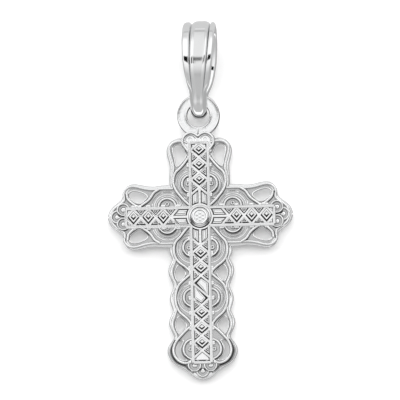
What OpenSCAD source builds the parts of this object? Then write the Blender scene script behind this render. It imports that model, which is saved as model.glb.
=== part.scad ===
// Hanging cross pendant: a cast filigree cross with a flat ring, and a lobed bail that the ring swings in.
// Millimetres, +Z up, front towards -Y. The origin is where a chain bears inside the top of the bail.

/* [Cross] */
// Thickness of the base plate
plate_thick = 0.425; // [0.4:0.005:0.5]
// Height of the filigree wires above the plate
wire_rise = 0.36; // [0.3:0.01:0.4]
// Width of the filigree wires
wire_width = 0.2; // [0.16:0.01:0.22]
// How far the plate stands outside the border wire
skirt = 0.34; // [0.3:0.01:0.36]
// How far the plate stands outside the wire of the small heart
heart_skirt = 0.12; // [0.1:0.01:0.16]
// Radius of the round boss in the middle
boss_radius = 0.98; // [0.95:0.01:1.02]

/* [Lattice bars] */
// Half the width of a bar
bar_half = 0.79; // [0.76:0.01:0.82]
// Distance from the middle of the boss to the first crossing of the lattice
first_crossing = 2.42; // [2.4:0.01:2.44]
// Distance between two crossings
crossing_pitch = 1.247; // [1.24:0.001:1.25]
// Width of the lattice ridges
ridge_width = 0.13; // [0.11:0.01:0.15]
// Height of the bar's floor above the plate
bar_floor = 0.2; // [0.16:0.01:0.24]
// Height of the ridges and studs above the bar's floor
ridge_rise = 0.25; // [0.2:0.01:0.3]

/* [Ring] */
// Outer radius of the flat ring
ring_radius = 1.78; // [1.75:0.01:1.8]
// Radius of the hole in the ring
ring_hole = 0.95; // [0.94:0.01:0.97]
// Thickness of the ring from front to back
ring_thick = 0.75; // [0.7:0.01:0.8]
// Height of the ring's middle above the middle of the boss
ring_above_boss = 8.37; // [8.35:0.01:8.4]

/* [Bail] */
// Thickness of the bail's strap at the top and sides
strap_thick = 0.65; // [0.6:0.01:0.7]
// Thickness of the strap under the ring
foot_thick = 0.98; // [0.9:0.01:1]
// Depth of the bail from front to back, where it is widest
bail_depth = 4.4; // [4.2:0.1:4.8]
// How far the widest place lies under the top of the bail
shoulder_drop = 3.3; // [3.2:0.1:3.4]
// Radius of the bail's inside where the ring hangs in it
throat_radius = 0.7; // [0.7:0.01:0.74]
// Distance from the chain's seat down to the middle of the ring's upper rod
rod_drop = 5.97; // [5.9:0.01:6.05]
// Depth of the grooves between the three lobes
groove_depth = 0.3; // [0.2:0.01:0.33]

/* [Hidden] */
$fn = 48;

// Heights measured from the middle of the cross's thickness towards its front
plate_back = -ring_thick / 2;
plate_front = plate_back + plate_thick;
bar_front = plate_front + bar_floor;
ridge_front = bar_front + ridge_rise;
boss_front = ridge_front + 0.04;
rim_front = boss_front + 0.1;
heart_floor_front = bar_front - 0.06;
heart_seat = bar_front - 0.1;
overlap = 0.04;
// Widens flat shapes a little, so that pieces that only touch grow together
join = 0.004;
heart_margin = 0.06;
fine_wire = 0.8 * wire_width;

ring_rod = ring_radius - ring_hole;
ring_z = ring_rod / 2 - ring_radius - rod_drop;
boss_z = ring_z - ring_above_boss;

arm_crossings = 3;
shaft_crossings = 8;
open_crossing = 3;
arm_end = first_crossing + arm_crossings * crossing_pitch;
shaft_end = first_crossing + (shaft_crossings - 1) * crossing_pitch + 0.88;
lane = bar_half - ridge_width / 2;
run = crossing_pitch / 2;
slant = lane / run;
stud_rise = 0.8 * ridge_rise;
stud_gap = 0.24;
rail_gap = 0.05;
long_stud_scale = 0.62;

// The rib and its two flat pockets between the boss and the first crossing, from the middle of the boss
rib_end = first_crossing - 0.5;
pocket_near = boss_radius + 0.12;
pocket_tip = first_crossing - 0.46;
pocket_far = first_crossing - 0.72;
pocket_inner = 0.14;
pocket_outer = 0.5;
pocket_rise = 0.7 * ridge_rise;

// The boss's rim line and its four dots
rim_radius = 0.75;
rim_width = 0.12;
dot_radius = 0.14;
dot_ring = 0.3;

// The two small half rings inside the heart
lobe_side = 0.62;
lobe_radius = 0.34;

// Crest of the border wire on the right half of the cross: [side, up] from the middle of the boss
TOP_CREST = [
    [0.9, 6.05], [1.65, 6.16], [2.12, 6.02], [2.38, 5.62], [2.35, 5.2], [2.2, 4.75],
    [2.1, 4.3], [2.13, 3.8], [2.2, 3.3], [2.2, 2.8], [2.18, 2.4]
];
ARM_CREST = [
    [2.25, 2.28], [3.1, 2.27], [3.9, 2.2], [4.6, 2.27], [5.2, 2.4], [5.6, 2.45], [5.92, 2.3],
    [6.1, 2], [6.17, 1.65], [6.3, 1.3], [6.65, 0.98], [7, 0.72], [7.28, 0.42], [7.42, 0]
];
SHAFT_CREST = [
    [2.18, -2.4], [2.3, -2.95], [2.08, -3.65], [2.42, -4.6], [2.03, -5.85], [2.33, -6.9],
    [2.1, -7.95], [2.43, -8.95], [2.03, -10.15], [2.57, -11.1], [2.43, -11.75], [2.1, -12.12],
    [1.5, -12.42], [0.98, -12.8], [0.5, -13.22], [0, -13.37]
];
HEART_CREST = [
    [0, 6.68], [0.25, 6.85], [0.62, 6.92], [0.98, 6.83], [1.2, 6.6], [1.26, 6.3], [1.2, 6],
    [1, 5.7], [0.82, 5.5]
];

// Wires inside the border on the right half: [side, up]
ARM_WIRES = [
    [[1.02, 0.8], [1.55, 1.38], [2.25, 2.12]],
    [[3.4, 2.25], [3.83, 1.97], [4.1, 1.57], [4.38, 1.28], [4.7, 1.06], [5.03, 0.82]],
    [[6.1, 1.95], [6.02, 1.5], [5.68, 1.15], [5.3, 0.86]]
];
SIDE_WIRES = [
    [[0.88, 0.95], [1.4, 1.53], [2.12, 2.28]],
    [[2.13, 3.62], [1.99, 3.84], [1.59, 4.15], [1.23, 4.49], [0.82, 4.86]],
    [[0.88, -0.95], [1.4, -1.53], [2.12, -2.28]],
    [[2.08, -3.65], [1.75, -3.95], [1.35, -4.28], [0.82, -4.76]],
    [[2.03, -5.85], [1.62, -5.55], [1.28, -5.2], [0.82, -4.82]],
    [[2.1, -7.95], [1.65, -8.2], [1.25, -8.55], [0.82, -9.08]],
    [[2.03, -10.15], [1.65, -9.9], [1.3, -9.5], [0.82, -9.14]]
];

// Half rings on the sides of the bars: [place along the bar, radius]
ARM_HALF_RING = [2.74, 0.66];
SIDE_HALF_RINGS = [[2.65, 0.74], [-2.88, 0.74], [-6.95, 0.74], [-11.15, 0.84]];
seed_radius = 0.33;

// Edges of the pierced holes on the right half, each a closed round: [side, up]
ARM_HOLE = [
    [4.46, 1.67], [4.77, 1.93], [5.45, 2.12], [5.88, 1.98], [5.87, 1.62], [5.16, 1.14], [4.66, 1.4]
];
SIDE_HOLES = [
    [
        [1.5, 5.87], [1.95, 5.92], [2.16, 5.57], [2.06, 4.9], [1.89, 4.2], [1.45, 4.55],
        [1.14, 5.02], [1.27, 5.45]
    ],
    [[1.85, -4.2], [2.17, -4.78], [1.9, -5.42], [1.36, -4.83]],
    [[1.9, -8.48], [2.19, -9.12], [1.86, -9.82], [1.34, -9.18]],
    [
        [1.62, -10.45], [2.02, -10.62], [2.3, -11.15], [2.14, -11.68], [1.72, -11.98],
        [1.36, -12.02], [1.68, -11.7], [1.86, -11.15], [1.74, -10.75]
    ]
];

// Three petals at an end: [along, side, radius], and the last one lies behind the others
ARM_PETALS = [[6.42, 0.6, 0.49], [6.42, -0.6, 0.49], [6.92, 0, 0.49]];
FOOT_PETALS = [[12.5, 0.66, 0.51], [12.5, -0.66, 0.51], [12.86, 0, 0.49]];

// The bail from its top to its foot: [height, width, lobes from 0 to 1]
BAIL_FORM = [
    [0.7, 2.72, 1], [-1, 2.68, 1], [-2.7, 2.5, 0.85], [-3.9, 2.2, 0.65], [-4.95, 1.8, 0.4],
    [-5.55, 1.46, 0.15], [-6.1, 1.36, 0.02], [-6.9, 1.34, 0], [-7.8, 1.3, 0]
];
ACROSS = [0, 0.18, 0.35, 0.5, 0.63, 0.71, 0.82, 0.93, 1];
groove_at = 0.63;
lobe_crown = 0.08;
foot_round = 0.42;
rim_inset = 0.08;

// Curves through points
function blend(a, b, c, d, t) =
    0.5 * (2 * b + (c - a) * t + (2 * a - 5 * b + 4 * c - d) * t * t
    + (3 * b - a - 3 * c + d) * t * t * t);
function open_curve(p, n = 3) = let (last = len(p) - 1) concat(
    [for (i = [0:last - 1]) for (k = [0:n - 1])
        blend(p[max(i - 1, 0)], p[i], p[i + 1], p[min(i + 2, last)], k / n)],
    [p[last]]);
function closed_curve(p, n = 4) = let (m = len(p))
    [for (i = [0:m - 1]) for (k = [0:n - 1])
        blend(p[(i + m - 1) % m], p[i], p[(i + 1) % m], p[(i + 2) % m], k / n)];
function reversed(p) = [for (i = [len(p) - 1:-1:0]) p[i]];
function flipped_up(p) = [for (q = p) [q[0], -q[1]]];
function flipped_side(p) = [for (q = p) [-q[0], q[1]]];
function heading(p, i) =
    let (d = p[min(i + 1, len(p) - 1)] - p[max(i - 1, 0)]) d / norm(d);
function beside(p, d) =
    [for (i = [0:len(p) - 1]) let (t = heading(p, i)) p[i] + d * [-t[1], t[0]]];
function crossing(i) = first_crossing + i * crossing_pitch;

function top_line() = open_curve(TOP_CREST);
function arm_line() = open_curve(ARM_CREST);
function shaft_line() = open_curve(SHAFT_CREST, 5);
function heart_line() = open_curve(HEART_CREST);
function right_crest() = concat(top_line(), arm_line(), reversed(flipped_up(arm_line())), shaft_line());
function both_halves(p) = concat(p, reversed(flipped_side(p)));

// Plane shapes, drawn from the middle of the boss
module both_sides() {
    children();
    mirror([1, 0]) children();
}

module four_ways() {
    both_sides() {
        children();
        mirror([0, 1]) children();
    }
}

module wire(path, width = wire_width) {
    polygon(concat(beside(path, width / 2), reversed(beside(path, -width / 2))));
    for (end = [path[0], path[len(path) - 1]]) translate(end) circle(d = width, $fn = 12);
}

module ring_line(radius, width) {
    difference() {
        circle(radius + width / 2);
        circle(radius - width / 2);
    }
}

module half_ring(place, radius) {
    translate([lane, place]) intersection() {
        union() {
            ring_line(radius, wire_width);
            ring_line(seed_radius, fine_wire);
        }
        translate([radius, 0]) square([2 * radius, 4 * radius], center = true);
    }
}

module petals(rows) {
    for (i = [0:2]) difference() {
        translate([rows[i][0], rows[i][1]]) ring_line(rows[i][2], fine_wire);
        if (i == 2) for (k = [0:1]) translate([rows[k][0], rows[k][1]]) circle(rows[k][2]);
    }
}

module holes() {
    both_sides() for (hole = SIDE_HOLES) polygon(closed_curve(hole));
    four_ways() polygon(closed_curve(ARM_HOLE));
}

module plate_shape() {
    difference() {
        union() {
            offset(r = skirt, $fn = 24) polygon(both_halves(right_crest()));
            offset(r = heart_skirt, $fn = 24) polygon(both_halves(heart_line()));
        }
        holes();
        translate([0, ring_above_boss]) circle(ring_hole);
    }
}

module wires_shape() {
    offset(delta = join) {
        four_ways() {
            wire(arm_line());
            for (path = ARM_WIRES) wire(open_curve(path));
        }
        both_sides() {
            wire(top_line());
            wire(shaft_line());
            for (path = SIDE_WIRES) wire(open_curve(path));
            for (row = SIDE_HALF_RINGS) half_ring(row[0], row[1]);
            petals(ARM_PETALS);
        }
        rotate(90) both_sides() half_ring(-ARM_HALF_RING[0], ARM_HALF_RING[1]);
        rotate(-90) both_sides() half_ring(-ARM_HALF_RING[0], ARM_HALF_RING[1]);
        rotate(90) both_sides() half_ring(ARM_HALF_RING[0], ARM_HALF_RING[1]);
        rotate(-90) petals(FOOT_PETALS);
    }
}

// Bars, drawn from the middle of the boss along +X
module bar_shape(reach) {
    translate([reach / 2, 0]) square([reach, 2 * bar_half], center = true);
}

module diagonal(place, side) {
    wire([[place - run, -side * lane], [place + run, side * lane]], ridge_width);
}

module ridges_shape(reach, crossings, open_one = -1) {
    offset(delta = join) {
        intersection() {
            bar_shape(reach);
            for (i = [0:crossings - 1]) {
                diagonal(crossing(i), 1);
                if (i != open_one) diagonal(crossing(i), -1);
            }
        }
        for (side = [-1, 1]) wire([[boss_radius, side * lane], [reach, side * lane]], ridge_width);
        wire([[reach, -lane], [reach, lane]], ridge_width);
        wire([[boss_radius, 0], [rib_end, 0]], ridge_width);
    }
}

module stud(points, rise = stud_rise) {
    count = len(points);
    middle = [for (axis = [0, 1]) [for (i = [0:count - 1]) points[i][axis]] * [for (p = points) 1] / count];
    polyhedron(
        concat(
            [for (p = points) [p[0], p[1], bar_front - overlap]],
            [[middle[0], middle[1], bar_front + rise]]),
        concat(
            [for (i = [1:count - 2]) [0, i, i + 1]],
            [for (i = [0:count - 1]) [(i + 1) % count, i, count]]));
}

module both_edges() {
    children();
    mirror([0, 1, 0]) children();
}

module diamond_stud(place) {
    long = run - stud_gap;
    wide = lane - stud_gap;
    stud([[place - long, 0], [place, -wide], [place + long, 0], [place, wide]]);
}

module edge_studs(place) {
    base = lane - ridge_width / 2 - rail_gap;
    long = (base - stud_gap) / slant;
    both_edges() stud([[place - long, base], [place, stud_gap], [place + long, base]]);
}

module pocket_studs() {
    both_edges() stud([
        [pocket_near, pocket_inner], [pocket_tip, pocket_inner],
        [pocket_far, pocket_outer], [pocket_near, pocket_outer]
    ], pocket_rise);
}

// A pair of slanting studs fills the long cell where one diagonal is left out
module long_studs(place) {
    corners = [[-2 * run, 0], [-run, -lane], [run, lane], [-run, lane]];
    middle = [-run, lane / 2];
    for (turn = [0, 180]) translate([place, 0, 0]) rotate(turn)
        stud([for (c = corners) middle + long_stud_scale * (c - middle)]);
}

module bar(reach, crossings, studs) {
    translate([0, 0, plate_front - overlap])
        linear_extrude(bar_front - plate_front + overlap) bar_shape(reach);
    pocket_studs();
    for (i = studs) diamond_stud(crossing(i) + run);
    for (i = [0:crossings - 1]) {
        if (crossings > open_crossing + 1 && i == open_crossing) long_studs(crossing(i));
        else edge_studs(crossing(i));
    }
}

module ridges(reach, crossings, open_one = -1) {
    translate([0, 0, bar_front - overlap])
        linear_extrude(ridge_front - bar_front + overlap) ridges_shape(reach, crossings, open_one);
}

module boss() {
    translate([0, 0, plate_front - overlap / 2])
        cylinder(r = boss_radius, h = boss_front - plate_front + overlap / 2);
    translate([0, 0, boss_front - overlap]) linear_extrude(rim_front - boss_front + overlap) {
        ring_line(rim_radius, rim_width);
        for (turn = [45:90:315]) rotate(turn) translate([dot_ring, 0]) circle(dot_radius);
    }
}

module heart() {
    translate([0, 0, heart_floor_front - overlap])
        linear_extrude(ridge_front - heart_floor_front + overlap) offset(delta = join) both_sides() {
            wire(heart_line());
            translate([lobe_side, arm_end]) intersection() {
                ring_line(lobe_radius, fine_wire);
                translate([0, 0.5]) square(1, center = true);
            }
        }
}

module heart_shape() {
    offset(delta = heart_margin) polygon(both_halves(heart_line()));
}

module heart_floor() {
    translate([0, 0, plate_front - overlap])
        linear_extrude(heart_floor_front - plate_front + overlap) heart_shape();
}

module ring() {
    difference() {
        translate([0, ring_above_boss, 0]) cylinder(r = ring_radius, h = ring_thick, center = true);
        translate([0, ring_above_boss, 0]) cylinder(r = ring_hole, h = 2 * ring_thick, center = true);
        translate([0, 0, heart_seat]) linear_extrude(ring_thick) heart_shape();
    }
}

module cross() {
    color([0.86, 0.87, 0.89]) translate([0, 0, boss_z]) rotate([90, 0, 0]) {
        translate([0, 0, plate_back]) linear_extrude(plate_thick) plate_shape();
        translate([0, 0, plate_front - overlap]) linear_extrude(wire_rise + overlap) wires_shape();
        for (turn = [0, 90, 180]) rotate(turn) {
            bar(arm_end, arm_crossings, [0:arm_crossings - 1]);
            ridges(arm_end, arm_crossings + 1);
        }
        rotate(-90) {
            bar(shaft_end, shaft_crossings, [0, 1, 4, 5, 6]);
            ridges(shaft_end, shaft_crossings, open_crossing);
        }
        heart_floor();
        heart();
        boss();
        ring();
    }
}

// The bail's strap: its side view runs from the top over the front shoulder to the foot
shoulder_z = strap_thick - shoulder_drop;
foot_start = 12;
function bezier(a, b, c, d, t) =
    pow(1 - t, 3) * a + 3 * t * pow(1 - t, 2) * b + 3 * t * t * (1 - t) * c + pow(t, 3) * d;
function side_curve(shoulder, foot_half, foot_low, t) = let (
    start = [shoulder, shoulder_z],
    end = [foot_half * cos(foot_start), -rod_drop - foot_low * sin(foot_start)],
    reach = 0.35 * norm(end - start),
    tangent = [-foot_half * sin(foot_start), -foot_low * cos(foot_start)],
    pull = tangent / norm(tangent))
    bezier(start, start + reach * [0, -1], end - reach * pull, end, t);
function half_view(shoulder, crown, foot_half, foot_low) = concat(
    [for (turn = [90:-9:0]) [shoulder * cos(turn), shoulder_z + crown * sin(turn)]],
    [for (k = [1:7]) side_curve(shoulder, foot_half, foot_low, k / 8)],
    [for (k = [0:7]) let (turn = foot_start + k * (90 - foot_start) / 7)
        [foot_half * cos(turn), -rod_drop - foot_low * sin(turn)]]);
function whole_view(half) = concat(
    [for (p = half) [-p[0], p[1]]],
    [for (i = [len(half) - 2:-1:1]) half[i]]);

function form(height, column) = lookup(height, [for (row = BAIL_FORM) [row[0], row[column]]]);
function lobes(s) = s <= groove_at
    ? -groove_depth * pow(s / groove_at, 2)
    : let (c = (1 + groove_at) / 2, h = (1 - groove_at) / 2)
        -lobe_crown - (groove_depth - lobe_crown) * pow((s - c) / h, 2);
function height_at(s, share) = share * lobes(s) - (1 - share) * foot_round * s * s;
function strap_section(outer, inner, outward) = let (
    width = form(outer[1], 1) / 2,
    share = form(outer[1], 2),
    half = [for (s = ACROSS) let (p = outer + height_at(s, share) * outward) [s * width, p[0], p[1]]],
    edge = width - rim_inset)
    concat(
        reversed([for (i = [1:len(half) - 1]) [-half[i][0], half[i][1], half[i][2]]]),
        half,
        [[edge, inner[0], inner[1]], [-edge, inner[0], inner[1]]]);
function outward_at(view, i) = let (
    m = len(view),
    d = view[(i + 1) % m] - view[(i + m - 1) % m],
    n = [d[1], -d[0]] / norm(d))
    [n[0], n[1]];

module bail() {
    outer = whole_view(half_view(
        bail_depth / 2, shoulder_drop, throat_radius + strap_thick + 0.05, throat_radius + foot_thick));
    inner = whole_view(half_view(
        bail_depth / 2 - strap_thick, shoulder_drop - strap_thick, throat_radius, throat_radius));
    rings = len(outer);
    sections = [for (i = [0:rings - 1]) strap_section(outer[i], inner[i], outward_at(outer, i))];
    count = len(sections[0]);
    color([0.88, 0.89, 0.91]) polyhedron(
        [for (section = sections) for (p = section) p],
        [for (i = [0:rings - 1]) for (k = [0:count - 1]) let (
            next = ((i + 1) % rings) * count, this = i * count, other = (k + 1) % count)
            each [[this + k, next + k, next + other], [this + k, next + other, this + other]]]);
}

bail();
cross();
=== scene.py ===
"""Hanging cross pendant: the polished bail and the cast filigree cross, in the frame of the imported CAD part.

The cross is worked out in millimetres in its own plane, from the middle of its boss: X to the right, Y up,
Z towards the viewer. It is turned into the frame's metres last. The bail is worked out in the frame itself.
"""

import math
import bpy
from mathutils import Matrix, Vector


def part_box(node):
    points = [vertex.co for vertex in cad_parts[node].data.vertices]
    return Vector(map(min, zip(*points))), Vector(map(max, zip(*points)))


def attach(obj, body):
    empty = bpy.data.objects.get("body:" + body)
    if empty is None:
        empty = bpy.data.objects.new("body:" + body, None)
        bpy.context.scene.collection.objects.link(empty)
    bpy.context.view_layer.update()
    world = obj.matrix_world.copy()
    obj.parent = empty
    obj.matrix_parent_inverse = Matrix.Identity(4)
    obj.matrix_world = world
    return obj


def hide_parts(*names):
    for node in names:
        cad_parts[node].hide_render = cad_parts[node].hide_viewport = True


bl_info = {
    "name": "Filigree cross pendant",
    "version": (1, 0, 0),
    "blender": (4, 5, 0),
    "location": "3D View > Sidebar > Pendant",
    "description": "Builds a cast silver cross pendant with its bail, finish and studio",
    "category": "Object",
}

import bpy
import numpy as np
from bpy.props import FloatProperty, FloatVectorProperty, IntProperty, PointerProperty
from bpy.types import Operator, Panel, PropertyGroup
from mathutils import Matrix, Vector

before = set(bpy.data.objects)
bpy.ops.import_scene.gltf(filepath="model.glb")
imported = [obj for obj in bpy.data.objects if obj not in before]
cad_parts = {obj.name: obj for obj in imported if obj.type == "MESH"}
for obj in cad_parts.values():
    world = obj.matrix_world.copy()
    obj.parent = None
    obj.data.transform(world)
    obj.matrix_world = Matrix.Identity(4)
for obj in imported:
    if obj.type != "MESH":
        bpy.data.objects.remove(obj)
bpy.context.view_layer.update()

MM = 0.001

# Crest of the border wire on the right half of the cross: (side, up) from the middle of the boss
TOP_CREST = [
    (0.9, 6.05), (1.65, 6.18), (2.12, 6.02), (2.38, 5.62), (2.37, 5.2), (2.26, 4.75),
    (2.17, 4.3), (2.17, 3.8), (2.2, 3.3), (2.2, 2.8), (2.18, 2.4),
]
ARM_CREST = [
    (2.25, 2.28), (3.1, 2.27), (3.9, 2.2), (4.6, 2.27), (5.2, 2.4), (5.6, 2.45), (5.92, 2.3),
    (6.1, 2.0), (6.17, 1.65), (6.3, 1.3), (6.65, 0.98), (7.0, 0.72), (7.28, 0.42), (7.42, 0.0),
]
SHAFT_CREST = [
    (2.18, -2.4), (2.3, -2.95), (2.08, -3.65), (2.42, -4.6), (2.03, -5.85), (2.33, -6.9),
    (2.1, -7.95), (2.43, -8.95), (2.03, -10.15), (2.57, -11.1), (2.43, -11.75), (2.1, -12.12),
    (1.5, -12.42), (0.98, -12.8), (0.5, -13.22), (0.0, -13.37),
]
HEART_CREST = [
    (0.0, 6.6), (0.21, 6.79), (0.54, 6.92), (0.9, 6.84), (1.18, 6.6), (1.3, 6.28), (1.26, 5.97),
    (1.07, 5.68), (0.86, 5.4),
]

# The border wire itself, where it stands away from that line: beside the top arch, and down the shaft
TOP_WIRE = [
    (0.95, 6.1), (1.35, 6.22), (1.8, 6.24), (2.2, 6.1), (2.46, 5.8), (2.48, 5.5), (2.43, 5.2), (2.31, 4.75),
    (2.18, 4.3), (2.17, 3.9), (2.27, 3.45), (2.35, 3.0), (2.34, 2.55),
]
ARM_WIRE = [
    (2.25, 2.28), (3.1, 2.29), (3.9, 2.23), (4.6, 2.32), (5.2, 2.48), (5.62, 2.54), (5.98, 2.46),
    (6.25, 2.23), (6.36, 1.93), (6.3, 1.6), (6.4, 1.3), (6.72, 1.06), (7.02, 0.85), (7.3, 0.55), (7.5, 0.0),
]
SHAFT_WIRES = [
    [(2.1, -3.45), (2.14, -3.75), (2.3, -4.15), (2.45, -4.6), (2.36, -5.15), (2.12, -5.75), (2.08, -6.2)],
    [(2.1, -7.55), (2.14, -7.95), (2.3, -8.45), (2.46, -8.95), (2.36, -9.5), (2.12, -10.05), (2.2, -10.35)],
    [
        (2.2, -10.2), (2.46, -10.65), (2.66, -11.15), (2.6, -11.6), (2.3, -12.12), (1.85, -12.4),
        (1.45, -12.56), (1.2, -12.8), (0.75, -13.1),
    ],
]

# Arches that spring from the bars: on the sides of the upright bar, and over the arms
SIDE_ARCHES = [
    [
        (0.84, 4.9), (1.0, 4.73), (1.28, 4.35), (1.63, 3.97), (1.96, 3.66), (2.13, 3.33), (2.19, 2.98),
        (2.17, 2.65), (2.06, 2.3), (1.88, 1.97), (1.6, 1.62), (1.28, 1.25), (0.9, 0.9),
    ],
    [
        (0.95, -0.88), (1.3, -1.28), (1.67, -1.74), (2.03, -2.12), (2.19, -2.45), (2.23, -2.85),
        (2.18, -3.25), (2.0, -3.68), (1.72, -3.97), (1.35, -4.24), (1.02, -4.55), (0.86, -4.74),
    ],
    [
        (0.86, -4.86), (1.25, -5.2), (1.6, -5.5), (1.9, -5.85), (2.1, -6.35), (2.17, -6.9),
        (2.1, -7.45), (1.88, -7.98), (1.6, -8.27), (1.22, -8.6), (0.86, -9.05),
    ],
    [
        (0.86, -9.2), (1.3, -9.55), (1.7, -9.95), (2.1, -10.4), (2.34, -10.85), (2.41, -11.3),
        (2.27, -11.75), (1.97, -12.1), (1.6, -12.27), (1.33, -12.3), (1.05, -12.22),
    ],
]

# Wires between the arms' arches and their ends on the right half: (side, up)
ARM_WIRES = [
    [(3.4, 2.25), (3.83, 1.97), (4.1, 1.57), (4.38, 1.28), (4.7, 1.06), (5.03, 0.82)],
    [(6.1, 1.95), (6.02, 1.5), (5.68, 1.15), (5.3, 0.86)],
]
# Half rings on the sides of the bars: (place along the bar, radius)
ARM_HALF_RING = (2.74, 0.73)
SIDE_HALF_RINGS = [(2.65, 0.74), (-2.68, 0.73), (-6.85, 0.74), (-11.15, 0.84)]
# The small closed ring inside each of them: (how far out from the bar's lane, radius)
EYE_RING = (0.27, 0.13)

# Edges of the pierced holes on the right half, each a closed round: (side, up)
ARM_HOLE = [
    (4.46, 1.67), (4.77, 1.93), (5.45, 2.12), (5.88, 1.98), (5.87, 1.62), (5.16, 1.14), (4.66, 1.4),
]
SIDE_HOLES = [
    [
        (1.5, 5.87), (1.95, 5.92), (2.16, 5.57), (2.06, 4.9), (1.89, 4.2), (1.45, 4.55),
        (1.14, 5.02), (1.27, 5.45),
    ],
    [(1.85, -4.2), (2.17, -4.78), (1.9, -5.42), (1.36, -4.83)],
    [(1.9, -8.48), (2.19, -9.12), (1.86, -9.82), (1.34, -9.18)],
    [
        (1.62, -10.45), (2.02, -10.62), (2.3, -11.15), (2.14, -11.68), (1.72, -11.98),
        (1.36, -12.02), (1.68, -11.7), (1.86, -11.15), (1.74, -10.75),
    ],
]

# Three petals at an end: (along, side, radius), and the last one lies behind the others
ARM_PETALS = [(6.42, 0.6, 0.49), (6.42, -0.6, 0.49), (6.92, 0.0, 0.49)]
FOOT_PETALS = [(12.48, 0.67, 0.5), (12.48, -0.67, 0.5), (12.94, 0.0, 0.48)]
PETAL_ENDS = ((ARM_PETALS, (0, 180)), (FOOT_PETALS, (-90,)))
# How far the contour lines lie outside the half rings
CONTOURS = (0.19, 0.37, 0.55)
# The heart's floor above the plate, its place beside the middle, and the radii of the lines in its lobes
HEART_FLOOR = 0.18
HEART_ASIDE = (-0.07, 0.0)
HEART_LOBE_LINES = (0.24, 0.42)

# Lattice of the bars, measured from the middle of the boss. A ridge ends a run before and after its crossing.
FIRST_CROSSING = 2.44
CROSSING_PITCH = 1.247
RUN = CROSSING_PITCH / 2
ARM_CROSSINGS = 3
SHAFT_CROSSINGS = 8
OPEN_CROSSING = 3
SHAFT_TAIL = 0.99
RIB_START = 1.1
RIB_END = FIRST_CROSSING - 0.08
# The ridges end on a lane along each side of a bar: how far inside its edge, and the rail's middle outside it
LANE_INSET = 0.065
RAIL_OUT = 0.03
# The bars: (turn in degrees, cells with a diamond stud)
SHAFT_TURN = -90
ARM_STUDS = (0, 1, 2)
BARS = ((0, ARM_STUDS), (90, ARM_STUDS), (180, ARM_STUDS), (SHAFT_TURN, (0, 1, 4, 5, 6)))
# A diamond stud's share of its cell, an edge stud's half sizes, how far in it stands, and how high both sit
DIAMOND = 0.74
EDGE_STUD = (0.39, 0.29)
EDGE_STUD_IN = 0.28
STUD_LIFT = 0.085
EDGE_STUD_LIFT = 0.06
# Radii of the boss's collar and of its rosette
COLLAR = 1.13
ROSETTE = 0.29

# The bars and the boss stand this much lower than the lines above, and the ring's middle this much higher
BARS_DROP = 0.1
RING_ABOVE_BOSS = 8.37
# How far a face stays inside its neighbour's, so that no two coincide
TUCKED = 0.02

# The most painted shade, and the heights where the upper bar has ended and where the ring is clear of the
# heart
DARKEST_PAINTED_SHADE = 0.96
OVER_BARS = 6.3
OVER_HEART = 7.3

# The bail from its top to its foot: (height from the inside of its top, width, lobes from 0 to 1)
BAIL_FORM = [
    (0.7, 2.72, 1.0), (-1.0, 2.68, 1.0), (-2.7, 2.5, 0.85), (-3.9, 2.2, 0.65), (-4.95, 1.8, 0.4),
    (-5.55, 1.42, 0.15), (-6.1, 1.36, 0.02), (-6.9, 1.34, 0.0), (-7.8, 1.3, 0.0),
]
# The heights between which its legs narrow, and its walls lean in, so that the ring swings freely
NARROWING = (-5.6, -4.6)
# Its loop from the side: where it is widest, outside and inside, and the round throat at its foot
SHOULDER_DROP = 3.8
INNER_SHOULDER_DROP = 2.95
THROAT_RADIUS = 0.7
ROD_DROP = 5.97
FOOT_START = math.radians(12)
# Its outside over the width: the grooves between the lobes, their skew by height, and the foot's roundness
GROOVE_AT = 0.59
LOBE_SKEW = ((-6.0, -3.0, 0.5), (0.0, 0.08, 0.16))
FOOT_ROUND = 0.42
# The panel sunk into the middle lobe
PANEL_EDGE = 0.35
PANEL_TOP = -0.15
PANEL_END = -6.2
# How it hangs: turned, leaning and aside
BAIL_TURN = math.radians(-2.5)
BAIL_LEAN = math.radians(1.05)
BAIL_SHIFT = 0.09


def length(text, size, about):
    """A size that a user may change, kept in metres and given here in millimetres."""
    return FloatProperty(name=text, description=about, default=size * MM, min=0.0, unit="LENGTH", precision=6)


def fraction(text, value, about):
    """A setting between 0 and 1."""
    return FloatProperty(name=text, description=about, default=value, min=0.0, max=1.0, subtype="FACTOR")


def angle(text, degrees, about):
    """An angle that a user may change, given here in degrees."""
    return FloatProperty(name=text, description=about, default=math.radians(degrees), subtype="ANGLE")


class CrossSizes(PropertyGroup):
    """Sizes of the cast cross."""

    plate_back: length("Plate back", 0.375, "How far the plate's back lies behind the middle of the ring")
    plate_thick: length("Plate thickness", 0.425, "Thickness of the base plate")
    wire_rise: length("Wire rise", 0.38, "Height of the filigree wires above the plate")
    wire_width: length("Wire width", 0.23, "Width of the filigree wires")
    draft: length("Draft", 0.045, "How much wider a wire is at its foot, on each side")
    skirt: length("Skirt", 0.34, "How far the plate stands outside the border wire")
    bar_half: length("Bar half width", 0.79, "Half the width of a lattice bar")
    bar_floor: length("Bar floor", 0.2, "Height of a bar's floor above the plate")
    ridge_width: length("Ridge width", 0.2, "Width of the lattice ridges")
    rail_width: length("Rail width", 0.25, "Width of the rails along a bar's sides")
    ridge_rise: length("Ridge rise", 0.25, "Height of the ridges above the bar's floor")
    boss_radius: length("Boss radius", 0.98, "Radius of the round boss in the middle")
    ring_radius: length("Ring radius", 1.78, "Outer radius of the flat ring")
    ring_hole: length("Ring hole", 0.95, "Radius of the hole in the ring")
    ring_thick: length("Ring thickness", 0.75, "Thickness of the ring from front to back")


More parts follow.
